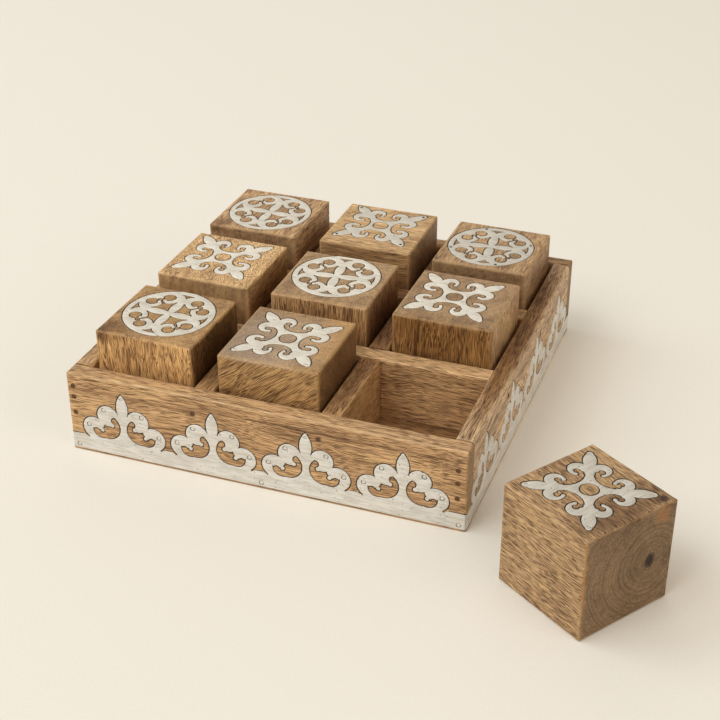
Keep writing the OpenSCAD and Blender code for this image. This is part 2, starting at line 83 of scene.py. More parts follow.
class Wiring:
    """Places the nodes of one tree and joins them, step by step."""

    def __init__(self, tree: bpy.types.NodeTree) -> None:
        """Takes the tree and empties it."""
        self.tree = tree
        tree.nodes.clear()

    def place(self, kind: str, feeds: dict | None = None, **settings: object) -> bpy.types.Node:
        """Places a node, sets it up and joins what feeds it.

        Args:
            kind: Blender's name of the node.
            feeds: What goes into each input, by the input's name or number.
            **settings: The node's own settings.

        Returns:
            The new node.
        """
        node = self.tree.nodes.new(kind)
        for name, value in settings.items():
            setattr(node, name, value)
        for name, value in (feeds or {}).items():
            if isinstance(value, bpy.types.NodeSocket):
                self.tree.links.new(value, node.inputs[name])
            else:
                node.inputs[name].default_value = value
        return node

    def sum_up(self, operation: str, *terms: Feed) -> bpy.types.NodeSocket:
        """Result of a Math node with the given operation and terms."""
        return self.place("ShaderNodeMath", dict(enumerate(terms)), operation=operation).outputs[0]

    def vector(self, operation: str, *terms: Feed) -> bpy.types.NodeSocket:
        """Result of a Vector Math node.

        Args:
            operation: Blender's name of the operation.
            *terms: The vectors or sockets that it takes.

        Returns:
            The socket of the number or vector that the operation gives.
        """
        node = self.place("ShaderNodeVectorMath", dict(enumerate(terms)), operation=operation)
        single = operation in ("LENGTH", "DOT_PRODUCT", "DISTANCE")
        return node.outputs["Value" if single else "Vector"]

    def noise(self, place: Feed, detail: float = 0.0, rough: float = 0.5, colour: bool = False,
              line: bool = False) -> bpy.types.NodeSocket:
        """Noise whose patches are about one unit of the place across.

        Args:
            place: Where the noise is read, a vector, or a number for noise along a line.
            detail: How many finer layers lie on it.
            rough: How strong the finer layers are.
            colour: Whether three noises are wanted, as a colour.
            line: Whether the place is a number.

        Returns:
            The noise, about 0.5 on average.
        """
        feeds = {"Scale": 1.0, "Detail": detail, "Roughness": rough, "W" if line else "Vector": place}
        node = self.place("ShaderNodeTexNoise", feeds, noise_dimensions="1D" if line else "3D")
        return node.outputs[1 if colour else 0]

    def band(self, value: Feed, low: Feed, high: Feed, start: Feed = 0.0,
             end: Feed = 1.0) -> bpy.types.NodeSocket:
        """Smooth step from start, up to a value's low reading, to end, from its high one on."""
        feeds = {"Value": value, "From Min": low, "From Max": high, "To Min": start, "To Max": end}
        return self.place("ShaderNodeMapRange", feeds, interpolation_type="SMOOTHSTEP").outputs[0]

    def blend(self, share: Feed, under: Feed, over: Feed, how: str = "MIX") -> bpy.types.NodeSocket:
        """Two colours laid over each other, the upper one showing by its share, 0 to 1."""
        feeds = {0: share, 6: under, 7: over}
        return self.place("ShaderNodeMix", feeds, data_type="RGBA", blend_type=how).outputs[2]

    def thrice(self, value: Feed) -> bpy.types.NodeSocket:
        """Vector with one value along all three axes."""
        return self.place("ShaderNodeCombineXYZ", {0: value, 1: value, 2: value}).outputs[0]

    def stretched(self, place: Feed, along: float, across: float) -> bpy.types.NodeSocket:
        """Place counted in patches of the given length along x and width, in millimetres."""
        return self.vector("MULTIPLY", place, (1 / along, 1 / across, 1 / across))

    def relief(self, height: Feed, strength: float, depth: float) -> bpy.types.NodeSocket:
        """Direction of a surface whose relief has the given strength, and depth in metres."""
        feeds = {"Strength": strength, "Distance": depth, "Height": height}
        return self.place("ShaderNodeBump", feeds).outputs[0]

    def object_place(self) -> bpy.types.NodeSocket:
        """Socket of the point's place on the object."""
        return self.place("ShaderNodeTexCoord").outputs["Object"]

    def object_normal(self) -> bpy.types.NodeSocket:
        """Socket of the surface's direction on the object."""
        return self.place("ShaderNodeTexCoord").outputs["Normal"]

    def measured(self, place: Feed, centre: Triple, turn: Triple) -> bpy.types.NodeSocket:
        """Place in millimetres in a frame whose middle, in metres, and turn, in radians, are given."""
        feeds = {"Vector": place, "Location": centre, "Rotation": turn, "Scale": (MM, MM, MM)}
        return self.place("ShaderNodeMapping", feeds, vector_type="TEXTURE").outputs[0]

    def specks(self, size: float, detail: float) -> bpy.types.NodeSocket:
        """Even noise all over the object, its patches of the given size in millimetres."""
        place = self.measured(self.object_place(), (0.0, 0.0, 0.0), (0.0, 0.0, 0.0))
        return self.noise(self.stretched(place, size, size), detail=detail)


@dataclass(frozen=True)
class Port:
    """One input or output of a shared effect.

    Attributes:
        name: The socket's name.
        kind: "Float", "Vector" or "Color".
    """

    name: str
    kind: str


class Effect:
    """A shader node group that several finishes use, each with its own values.

    Attributes:
        name: The group's name.
        takes: Its inputs.
        gives: Its outputs.
    """

    name: str
    takes: tuple[Port, ...]
    gives: tuple[Port, ...]

    def __init__(self) -> None:
        """Builds the group once."""
        self.tree = bpy.data.node_groups.new(self.name, "ShaderNodeTree")
        for way, ports in (("INPUT", self.takes), ("OUTPUT", self.gives)):
            for port in ports:
                kind = f"NodeSocket{port.kind}"
                self.tree.interface.new_socket(port.name, in_out=way, socket_type=kind)
        w = Wiring(self.tree)
        w.place("NodeGroupOutput", self.wire(w, w.place("NodeGroupInput").outputs))

    def wire(self, w: Wiring, given: bpy.types.bpy_prop_collection) -> dict[str, Feed]:
        """Wires the effect from its inputs and gives its outputs by name."""
        raise NotImplementedError

    def use(self, w: Wiring, feeds: dict[str, Feed]) -> bpy.types.bpy_prop_collection:
        """Places the group in a material and gives its outputs."""
        return w.place("ShaderNodeGroup", feeds, node_tree=self.tree).outputs


class MangoGrain(Effect):
    """Grain of waxed mango wood. The place is in millimetres, fibres along x, the heart on the x axis."""

    name = "mango grain"
    numbers = ("Ring", "Wave", "Ripple", "Length", "Seed", "Rings", "Streaks", "Lines", "Dashes", "Flecks",
               "Veins", "Ring Lines", "End")
    takes = (
        Port("Place", "Vector"),
        Port("Fibre", "Vector"),
        *(Port(name, "Float") for name in numbers),
        Port("Light", "Color"),
        Port("Middle", "Color"),
        Port("Dark", "Color"),
    )
    gives = (Port("Color", "Color"), Port("Roughness", "Float"), Port("Height", "Float"))

    def wire(self, w: Wiring, given: bpy.types.bpy_prop_collection) -> dict[str, Feed]:
        """Wires rings, streaks, pores and the end grain's shade.

        Args:
            w: The group's wiring.
            given: The group's inputs.

        Returns:
            Colour, roughness and height.
        """
        seed = w.vector("MULTIPLY", (17.3, 31.7, 47.9), w.thrice(given["Seed"]))
        at = w.vector("ADD", given["Place"], seed)
        middle = (0.5, 0.5, 0.5)
        slow = w.vector("SUBTRACT", w.noise(w.stretched(at, 55, 24), detail=1.0, colour=True), middle)
        quick = w.vector("SUBTRACT", w.noise(w.stretched(at, 14, 4.5), colour=True), middle)
        shift = w.vector("ADD", w.vector("MULTIPLY", slow, w.thrice(given["Wave"])),
                         w.vector("MULTIPLY", quick, w.thrice(given["Ripple"])))
        shift = w.vector("MULTIPLY", shift, (0.0, 1.0, 1.0))
        facing = w.sum_up("ABSOLUTE", w.vector("DOT_PRODUCT", w.object_normal(), given["Fibre"]))
        end = w.band(facing, 0.45, 0.95)

        across = w.vector("MULTIPLY", w.vector("ADD", given["Place"], shift), (0.0, 1.0, 1.0))
        turns = w.sum_up("DIVIDE", w.vector("LENGTH", across), given["Ring"])
        spread = w.sum_up("MULTIPLY_ADD", given["Seed"], 7.3, turns)
        rings = w.noise(spread, detail=2.5, rough=0.6, line=True)
        years = w.sum_up("MULTIPLY_ADD", w.noise(spread, line=True), 1.6, turns)
        crest = w.sum_up("SINE", w.sum_up("MULTIPLY", years, 2 * math.pi))
        ring_lines = w.sum_up("MULTIPLY", w.band(crest, 0.2, 0.9), given["Ring Lines"])
        ring_lines = w.sum_up("MULTIPLY", ring_lines, w.band(end, 0.0, 1.0, 0.25, 1.0))

        shorter = w.place("ShaderNodeCombineXYZ", {
            0: w.sum_up("DIVIDE", 1.0, given["Length"]), 1: 1.0, 2: 1.0}).outputs[0]
        warped = w.vector("MULTIPLY", w.vector("ADD", at, shift), shorter)
        streaks = w.noise(w.stretched(warped, 60, 3.0), detail=1.0, rough=0.35)
        lines = w.noise(w.stretched(warped, 24, 0.45), detail=1.0, rough=0.6)
        fine = w.noise(w.stretched(w.vector("ADD", warped, (3.7, 9.1, 1.3)), 6.0, 0.26))
        mottle = w.noise(w.stretched(warped, 36, 16), detail=1.5)
        tone = 0.5
        for noise, strength in ((rings, given["Rings"]), (streaks, given["Streaks"]),
                                (lines, given["Lines"]), (fine, w.sum_up("MULTIPLY", given["Lines"], 1.4)),
                                (mottle, 1.0)):
            tone = w.sum_up("MULTIPLY_ADD", w.sum_up("SUBTRACT", noise, 0.5), strength, tone)
        colour = w.blend(w.band(tone, 0.02, 0.48), given["Dark"], given["Middle"])
        colour = w.blend(w.band(tone, 0.48, 0.98), colour, given["Light"])

        spot = w.noise(w.stretched(warped, 5.5, 0.27))
        flecks = w.sum_up("MULTIPLY", w.band(spot, 0.55, 0.63), given["Flecks"])
        colour = w.blend(flecks, colour, given["Light"])
        vein = w.noise(w.stretched(warped, 70, 2.6), detail=1.5)
        veins = w.sum_up("MULTIPLY", w.band(vein, 0.57, 0.70), given["Veins"])
        colour = w.blend(veins, colour, given["Dark"])
        pore = w.noise(w.stretched(w.vector("ADD", warped, (5.1, 3.3, 8.7)), 6.5, 0.27))
        pores = w.band(pore, 0.56, 0.62)
        dashes = w.sum_up("MULTIPLY", pores, given["Dashes"])
        dashes = w.sum_up("MULTIPLY", dashes, w.band(end, 0.0, 1.0, 1.0, 0.45))
        colour = w.blend(w.sum_up("MAXIMUM", dashes, ring_lines), colour,
                         w.blend(0.35, given["Dark"], (0.01, 0.006, 0.003, 1.0)))
        colour = w.blend(w.sum_up("MULTIPLY", end, given["End"]), colour, (0.50, 0.51, 0.54, 1.0),
                         "MULTIPLY")

        rough = w.sum_up("MULTIPLY_ADD", pores, 0.2, w.sum_up("MULTIPLY_ADD", lines, 0.16, 0.42))
        height = w.sum_up("SUBTRACT", w.sum_up("MULTIPLY", lines, 0.5), w.sum_up("MULTIPLY", pores, 0.7))
        return {"Color": colour, "Roughness": rough, "Height": height}


class RubbedEdge(Effect):
    """Mask of a block's edges, broken as handling wears them. The place is in millimetres from its middle."""

    name = "rubbed edge"
    takes = (
        Port("Place", "Vector"),
        Port("Half Size", "Vector"),
        Port("Reach", "Float"),
        Port("Seed", "Float"),
    )
    gives = (Port("Mask", "Float"),)

    def wire(self, w: Wiring, given: bpy.types.bpy_prop_collection) -> dict[str, Feed]:
        """Wires the distance to the nearest edge.

        Args:
            w: The group's wiring.
            given: The group's inputs.

        Returns:
            The mask, 1 on a fully rubbed edge.
        """
        inward = w.vector("SUBTRACT", given["Half Size"], w.vector("ABSOLUTE", given["Place"]))
        part = w.place("ShaderNodeSeparateXYZ", {0: inward}).outputs
        low = w.sum_up("MINIMUM", part[0], part[1])
        high = w.sum_up("MAXIMUM", part[0], part[1])
        second = w.sum_up("MAXIMUM", low, w.sum_up("MINIMUM", high, part[2]))
        at = w.stretched(given["Place"], 7.0, 7.0)
        patch = w.noise(w.vector("ADD", at, w.thrice(given["Seed"])), detail=2.0)
        reach = w.sum_up("MULTIPLY", given["Reach"], w.band(patch, 0.3, 0.7, 0.35, 1.5))
        return {"Mask": w.band(second, 0.0, reach, 1.0, 0.0)}


class StainAndPaintedLight(Effect):
    """Mask of a rounded patch with an uneven rim, for stains and for painted shade and light. The place is in
    millimetres.
    """

    name = "stain_and_painted_light"
    takes = (
        Port("Place", "Vector"),
        Port("Middle", "Vector"),
        Port("Reach", "Vector"),
        Port("Uneven", "Float"),
    )
    gives = (Port("Mask", "Float"),)

    def wire(self, w: Wiring, given: bpy.types.bpy_prop_collection) -> dict[str, Feed]:
        """Wires the patch's soft rim.

        Args:
            w: The group's wiring.
            given: The group's inputs.

        Returns:
            The mask, 1 in the patch.
        """
        away = w.vector("DIVIDE", w.vector("SUBTRACT", given["Place"], given["Middle"]), given["Reach"])
        grain = w.noise(w.vector("MULTIPLY", away, (2.0, 2.0, 2.0)), detail=3.0, rough=0.6)
        rim = w.sum_up("MULTIPLY", w.sum_up("SUBTRACT", grain, 0.5), given["Uneven"])
        return {"Mask": w.band(w.sum_up("ADD", w.vector("LENGTH", away), rim), 0.45, 1.1, 1.0, 0.0)}


class WorkedSheet(Effect):
    """Hammered and rubbed white metal. The place is in millimetres, brushed along x."""

    name = "worked sheet"
    takes = (Port("Place", "Vector"), Port("Seed", "Float"))
    gives = (Port("Tone", "Float"), Port("Nicks", "Float"), Port("Roughness", "Float"),
             Port("Height", "Float"))

    def wire(self, w: Wiring, given: bpy.types.bpy_prop_collection) -> dict[str, Feed]:
        """Wires brush lines, dents and nicks.

        Args:
            w: The group's wiring.
            given: The group's inputs.

        Returns:
            Tone around 0.5, mask of dark nicks, roughness and height.
        """
        seed = w.vector("MULTIPLY", (13.1, 29.3, 7.7), w.thrice(given["Seed"]))
        at = w.vector("ADD", given["Place"], seed)
        brush = w.noise(w.stretched(at, 9, 0.6), detail=1.5, rough=0.7)
        cloud = w.noise(w.stretched(at, 9, 4.5), detail=3.0, rough=0.6)
        dents = w.noise(w.stretched(at, 5.5, 5.5), detail=1.0)
        specks = w.noise(w.stretched(at, 1.5, 0.7))
        nicks = w.band(specks, 0.76, 0.82)
        tone = w.sum_up("ADD", w.sum_up("MULTIPLY", brush, 0.6), w.sum_up("MULTIPLY", cloud, 0.4))
        rough = w.sum_up("ADD", w.sum_up("MULTIPLY", cloud, 0.2), 0.5)
        height = w.sum_up("ADD", w.sum_up("MULTIPLY", brush, 0.15), w.sum_up("MULTIPLY", dents, 0.7))
        height = w.sum_up("SUBTRACT", height, w.sum_up("MULTIPLY", nicks, 0.3))
        return {"Tone": tone, "Nicks": nicks, "Roughness": rough, "Height": height}


class Effects:
    """The shared effects, each built once."""

    def __init__(self) -> None:
        """Builds every shared effect."""
        self.grain = MangoGrain()
        self.edge = RubbedEdge()
        self.stain_and_painted_light = StainAndPaintedLight()
        self.sheet = WorkedSheet()


# Finishes


class Finish:
    """A finish with a material of its own.

    Attributes:
        name: The material's name.
    """

    name: str

    def wire(self, w: Wiring, effects: Effects) -> dict[str, Feed]:
        """Wires the pattern and gives what the Principled shader takes."""
        raise NotImplementedError

    def material(self, effects: Effects) -> bpy.types.Material:
        """Makes the material.

        Args:
            effects: The shared effects.

        Returns:
            The new material.
        """
        material = bpy.data.materials.new(self.name)
        material.use_nodes = True
        w = Wiring(material.node_tree)
        skin = w.place("ShaderNodeBsdfPrincipled", self.wire(w, effects))
        w.place("ShaderNodeOutputMaterial", {"Surface": skin.outputs[0]})
        return material


class Timber(Enum):
    """The middle tone of each kind of board and block in the set."""

    GOLDEN = swatch(202, 155, 101)
    STRAW = swatch(213, 170, 120)
    TAN = swatch(190, 150, 107)
    ORANGE = swatch(189, 141, 92)
    BROWN = swatch(176, 135, 91)
    GREYISH = swatch(181, 150, 117)

    def shaded(self, red: float, green: float, blue: float) -> Colour:
        """The tone with each of its colours taken up or down."""
        tone = self.value
        return (min(tone[0] * red, 1.0), min(tone[1] * green, 1.0), min(tone[2] * blue, 1.0), 1.0)

    def middle(self, level: float) -> Colour:
        """The tone itself, lighter or darker by the level."""
        return self.shaded(level, level, level)

    def light(self, level: float) -> Colour:
        """The tone's palest streaks."""
        return self.shaded(1.40 * level, 1.48 * level, 1.46 * level)

    def dark(self, level: float) -> Colour:
        """The tone's darkest streaks."""
        return self.shaded(0.32 * level, 0.25 * level, 0.19 * level)


@dataclass(frozen=True)
class Grain:
    """How a piece was cut from the log.

    Attributes:
        heading: Direction of the fibres seen from above, in degrees from the piece's x axis.
        rise: Slope of the fibres, in degrees. 90 is upright.
        heart: The heart's place across the fibres from the piece's middle, in millimetres.
        ring: Width of a year's growth, in millimetres.
        wave: How far the fibres wander, in millimetres.
        ripple: How far they curl within a few millimetres.
        length: Length of the lines and pores against the usual one.
        seed: Number that sets this piece's pattern apart.
        rings: Contrast of the year rings.
        streaks: Contrast of the streaks.
        lines: Contrast of the fine lines.
        dashes: Strength of the dark pores.
        flecks: Strength of the pale flecks.
        veins: Strength of the dark veins.
        ring_lines: Strength of the thin dark lines between the year rings on the end grain.
        end: Darkening of the end grain.
        level: How light the piece is against its timber's tone.
    """

    heading: float = 0.0
    rise: float = 0.0
    heart: tuple[float, float] = (45.0, -30.0)
    ring: float = 5.0
    wave: float = 6.0
    ripple: float = 0.35
    length: float = 1.2
    seed: float = 0.0
    rings: float = 0.6
    streaks: float = 0.7
    lines: float = 1.05
    dashes: float = 0.85
    flecks: float = 0.5
    veins: float = 0.3
    ring_lines: float = 0.2
    end: float = 0.5
    level: float = 1.0

    def feeds(self) -> dict[str, float]:
        """The numbers that the shared grain takes, by its inputs' names."""
        return {name: getattr(self, name.lower().replace(" ", "_")) for name in MangoGrain.numbers}


@dataclass(frozen=True)
class Patch:
    """A stained or worn place on a piece, or one with painted shade or painted light.

    Attributes:
        middle: Its middle in the piece's own frame, in millimetres.
        reach: How far it goes along each axis, in millimetres.
        colour: Its colour.
        strength: How much of the colour shows.
        uneven: How ragged its rim is.
        how: Blender's name of the way it lies on the wood.
    """

    middle: Triple
    reach: Triple
    colour: Colour
    strength: float
    uneven: float = 0.7
    how: str = "MULTIPLY"


@dataclass(frozen=True)
class WoodFinish(Finish):
    """Waxed mango wood on one piece.

    Attributes:
        name: The material's name.
        tones: The piece's colours.
        grain: How it was cut.
        middle: The piece's middle, in millimetres.
        half: Half its size along its own axes, in millimetres.
        turn: The piece's turn seen from above, in degrees.
        rub: Width of the rubbed edges, in millimetres.
        patches: Its stains and worn places, and its painted shade and painted light.
    """

    name: str
    tones: Timber
    grain: Grain
    middle: Triple
    half: Triple
    turn: float
    rub: float
    patches: tuple[Patch, ...] = ()

    def wire(self, w: Wiring, effects: Effects) -> dict[str, Feed]:
        """Wires the wood.

        Args:
            w: The material's wiring.
            effects: The shared effects.

        Returns:
            What the shader takes.
        """
        centre = tuple(value * MM for value in self.middle)
        place = w.object_place()
        own = w.measured(place, centre, (0.0, 0.0, math.radians(self.turn)))
        along = (0.0, -math.radians(self.grain.rise), math.radians(self.turn + self.grain.heading))
        fibre = Euler(along).to_matrix() @ Vector((1.0, 0.0, 0.0))
        log_place = w.vector("ADD", w.measured(place, centre, along), (0.0, *self.grain.heart))
        light = self.tones.light(self.grain.level)
        wood = effects.grain.use(w, {
            "Place": log_place, "Fibre": tuple(fibre), **self.grain.feeds(), "Light": light,
            "Middle": self.tones.middle(self.grain.level), "Dark": self.tones.dark(self.grain.level)})
        colour = wood["Color"]
        for patch in self.patches:
            mask = effects.stain_and_painted_light.use(w, {"Place": own, "Middle": patch.middle, "Reach": patch.reach,
                                          "Uneven": patch.uneven})["Mask"]
            colour = w.blend(w.sum_up("MULTIPLY", mask, patch.strength), colour, patch.colour, patch.how)
        rubbed = effects.edge.use(w, {"Place": own, "Half Size": self.half, "Reach": self.rub,
                                      "Seed": self.grain.seed})["Mask"]
        pale = w.blend(0.5, colour, light)
        colour = w.blend(w.sum_up("MULTIPLY", rubbed, 0.6), colour, pale)
        return {"Base Color": colour, "Roughness": wood["Roughness"], "IOR": 1.45, "Specular IOR Level": 0.4,
                "Normal": w.relief(wood["Height"], 0.6, 0.0003)}


@dataclass(frozen=True)
class SheetFinish(Finish):
    """White metal sheet, flattened by hand, rubbed and a little dull.

    Attributes:
        name: The material's name.
        middle: Middle of its pattern, in millimetres.
        turn: Direction of the brush lines seen from above, in degrees.
        seed: Number that sets this sheet's pattern apart.
        level: How light this sheet is against the others.
        pale: Colour of the clean metal.
        dull: Colour of the dull metal.
        nick: Colour in the nicks.
    """
    # level: How light this sheet is against the others; on the cubes this is painted sheen.

    name: str
    middle: Triple
    turn: float
    seed: float
    level: float = 1.0
    pale: Colour = swatch(245, 237, 223)
    dull: Colour = swatch(222, 213, 198)
    nick: Colour = swatch(112, 98, 82)

    def wire(self, w: Wiring, effects: Effects) -> dict[str, Feed]:
        """Wires the metal.

        Args:
            w: The material's wiring.
            effects: The shared effects.

        Returns:
            What the shader takes.
        """
        centre = tuple(value * MM for value in self.middle)
        place = w.measured(w.object_place(), centre, (0.0, 0.0, math.radians(self.turn)))
        worked = effects.sheet.use(w, {"Place": place, "Seed": self.seed})
        colour = w.blend(w.band(worked["Tone"], 0.36, 0.64), self.dull, self.pale)
        colour = w.blend(w.sum_up("MULTIPLY", worked["Nicks"], 0.6), colour, self.nick)
        colour = w.blend(1.0, colour, (self.level, self.level, self.level, 1.0), "MULTIPLY")
        return {"Base Color": colour, "Metallic": 0.65, "Roughness": worked["Roughness"],
                "Normal": w.relief(worked["Height"], 0.5, 0.00006)}


@dataclass(frozen=True)
class GrittyFinish(Finish):
    """A dull skin with specks of a second tone, such as old lac or rusty iron.

    Attributes:
        name: The material's name.
        ground: Its colour between the specks.
        speck: Colour of the specks.
        size: Size of a speck, in millimetres.
        detail: How many finer layers the specks have.
        rim: Readings of the noise where a speck starts and where it is full.
        smooth: Roughness where the noise is 0.
        rise: How much rougher it is where the noise is 1.
        strength: Strength of its relief.
        metallic: How metallic it is.
    """

    name: str
    ground: Colour
    speck: Colour
    size: float
    detail: float
    rim: tuple[float, float]
    smooth: float
    rise: float
    strength: float
    metallic: float = 0.0

    def wire(self, w: Wiring, effects: Effects) -> dict[str, Feed]:
        """Wires the specks.

        Args:
            w: The material's wiring.
            effects: The shared effects; not used.

        Returns:
            What the shader takes.
        """
        specks = w.specks(self.size, self.detail)
        return {"Base Color": w.blend(w.band(specks, *self.rim), self.ground, self.speck),
                "Metallic": self.metallic,
                "Roughness": w.sum_up("MULTIPLY_ADD", specks, self.rise, self.smooth),
                "Normal": w.relief(specks, self.strength, 0.0002)}


@dataclass(frozen=True)
class PaperFinish(Finish):
    """Pale paper with a faint tooth.

    Attributes:
        name: The material's name.
        paper: Its colour.
        warmth: How much of each colour is left in the tooth.
    """

    name: str
    paper: Colour
    warmth: Colour = (0.985, 0.98, 0.97, 1.0)

    def wire(self, w: Wiring, effects: Effects) -> dict[str, Feed]:
        """Wires the tooth.

        Args:
            w: The material's wiring.
            effects: The shared effects; not used.

        Returns:
            What the shader takes.
        """
        tooth = w.band(w.specks(1.2, 3.0), 0.35, 0.65)
        warmer = tuple(value * share for value, share in zip(self.paper, self.warmth))
        return {"Base Color": w.blend(tooth, warmer, self.paper), "Roughness": 0.9, "Specular IOR Level": 0.2}


# Modelling


class Bench:
    """Modelling steps on pieces, as by hand.

    Attributes:
        smooth_below: Edges flatter than this angle are shaded smooth, in radians.
        same_level: How near a face's level a corner counts as lying in it, in millimetres.
        longest_step: Longest way of a corner in an inset, as a share of the inset's width.
        unfold_rounds: How often turned faces are looked for.
    """

    smooth_below = math.radians(35)
    same_level = 0.001
    longest_step = 1.8
    unfold_rounds = 10

    @staticmethod
    def pick(piece: bpy.types.Object) -> None:
        """Selects one piece alone and makes it the active one.

        Args:
            piece: The piece.
        """
        bpy.ops.object.select_all(action="DESELECT")
        piece.select_set(True)
        bpy.context.view_layer.objects.active = piece

    @classmethod
    def copied(cls, node: str, name: str) -> bpy.types.Object:
        """Copies a CAD node as a new piece and merges its loose triangles into faces.

        Args:
            node: The CAD node.
            name: The new piece's name.

        Returns:
            The new piece.
        """
        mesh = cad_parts[node].data.copy()
        mesh.name = name
        mesh.materials.clear()
        piece = bpy.data.objects.new(name, mesh)
        bpy.context.scene.collection.objects.link(piece)
        cls.pick(piece)
        bpy.ops.object.mode_set(mode="EDIT")
        bpy.ops.mesh.select_all(action="SELECT")
        bpy.ops.mesh.remove_doubles(threshold=MERGE)
        bpy.ops.object.mode_set(mode="OBJECT")
        if mesh.has_custom_normals:
            bpy.ops.mesh.customdata_custom_splitnormals_clear()
        return piece

    @classmethod
    def eased(cls, piece: bpy.types.Object, face: Vector, level: float,
              steps: tuple[tuple[float, float], ...], reach: float = math.inf) -> None:
        """Rounds the rim of a flat sheet's outer face.

        Args:
            piece: The sheet.
            face: Direction in which its outer face looks.
            level: Distance of that face from the origin along the direction, in metres.
            steps: Width of each step inwards and the drop of its outer side, in millimetres.
            reach: How far from the middle the rim is rounded, in millimetres.
        """
        piece.data.transform(Matrix.Scale(1 / MM, 4))
        outer = level / MM
        cls.pick(piece)
        bpy.ops.object.mode_set(mode="EDIT")
        bpy.ops.mesh.select_mode(type="FACE")
        bpy.ops.mesh.select_all(action="DESELECT")
        shape = bmesh.from_edit_mesh(piece.data)
        for flat in shape.faces:
            flat.select = all(abs(vertex.co.dot(face) - outer) < cls.same_level for vertex in flat.verts)
        bmesh.update_edit_mesh(piece.data)
        for width, drop in steps:
            bpy.ops.mesh.inset(thickness=width)
            cls.settle_step(bmesh.from_edit_mesh(piece.data), face, outer, width, drop, reach)
            bmesh.update_edit_mesh(piece.data)
        bpy.ops.object.mode_set(mode="OBJECT")
        piece.data.transform(Matrix.Scale(MM, 4))
        bpy.ops.object.shade_smooth_by_angle(angle=cls.smooth_below)

    @classmethod
    def settle_step(cls, shape: bmesh.types.BMesh, face: Vector, outer: float, width: float,
                    drop: float, reach: float) -> None:
        """Pulls back the corners that an inset threw too far or turned over, and lowers its outer side.

        Args:
            shape: The sheet in edit mode, its inner faces selected.
            face: Direction in which its outer face looks.
            outer: Distance of that face from the origin along the direction, in millimetres.
            width: Width of the inset, in millimetres.
            drop: Drop of its outer side, in millimetres.
            reach: How far from the middle that side is lowered, in millimetres.
        """
        inner = {vertex for flat in shape.faces if flat.select for vertex in flat.verts}
        source = {}
        for vertex in shape.verts:
            if vertex in inner or abs(vertex.co.dot(face) - outer) > cls.same_level:
                continue
            for edge in vertex.link_edges:
                moved = edge.other_vert(vertex)
                if moved in inner:
                    source[moved] = vertex
                    way = moved.co - vertex.co
                    moved.co = vertex.co + way * min(1.0, cls.longest_step * width / max(way.length, 1e-6))
        rim = source.keys() | {vertex for vertex in shape.verts
                               if abs(vertex.co.dot(face) - outer) < cls.same_level}
        level = [flat for flat in shape.faces
                 if flat.normal.dot(face) > 0.9 or flat.select or rim.issuperset(flat.verts)]
        for _ in range(cls.unfold_rounds):
            for flat in level:
                flat.normal_update()
            turned = {vertex for flat in level if flat.normal.dot(face) < 0.5 for vertex in flat.verts}
            for vertex in turned & source.keys():
                vertex.co = vertex.co.lerp(source[vertex].co, 0.5)
        for vertex in source.values():
            if abs(vertex.co.dot(Vector((-face.y, face.x, 0.0)))) < reach:
                vertex.co -= face * drop

    @classmethod
    def sunk(cls, piece: bpy.types.Object, face: Vector, level: float, depth: float) -> None:
        """Lowers a piece's outer face a little.

        Args:
            piece: The piece.
            face: Direction in which its outer face looks.
            level: Distance of that face from the origin along the direction, in metres.
            depth: How far it goes down, in metres.
        """
        for vertex in piece.data.vertices:
            if abs(vertex.co.dot(face) - level) < FLUSH:
                vertex.co -= face * depth
        cls.pick(piece)
        bpy.ops.object.shade_smooth_by_angle(angle=cls.smooth_below)

    @staticmethod
    def islands(node: str) -> list[tuple[Vector, Vector]]:
        """Boxes of the separate solids in a CAD node.

        Args:
            node: The CAD node.

        Returns:
            The lowest and highest corner of each solid.
        """
        shape = bmesh.new()
        shape.from_mesh(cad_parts[node].data)
        bmesh.ops.remove_doubles(shape, verts=shape.verts, dist=MERGE)
        boxes = []
        waiting = set(shape.verts)
        while waiting:
            reached = [waiting.pop()]
            low = reached[0].co.copy()
            high = reached[0].co.copy()
            while reached:
                vertex = reached.pop()
                low = Vector(map(min, low, vertex.co))
                high = Vector(map(max, high, vertex.co))
                for edge in vertex.link_edges:
                    other = edge.other_vert(vertex)
                    if other in waiting:
                        waiting.remove(other)
                        reached.append(other)
            boxes.append((low, high))
        shape.free()
        boxes.sort(key=lambda box: tuple(round(value, 6) for value in (*box[0], *box[1])))
        return boxes

    @classmethod
    def joined(cls, pieces: list[bpy.types.Object], name: str) -> bpy.types.Object:
        """Joins several pieces into one.

        Args:
            pieces: The pieces, of which the first keeps its place.
            name: Name of the joined piece.

        Returns:
            The joined piece.
        """
        cls.pick(pieces[0])
        for piece in pieces[1:]:
            piece.select_set(True)
        if len(pieces) > 1:
            bpy.ops.object.join()
        pieces[0].name = name
        pieces[0].data.name = name
        return pieces[0]


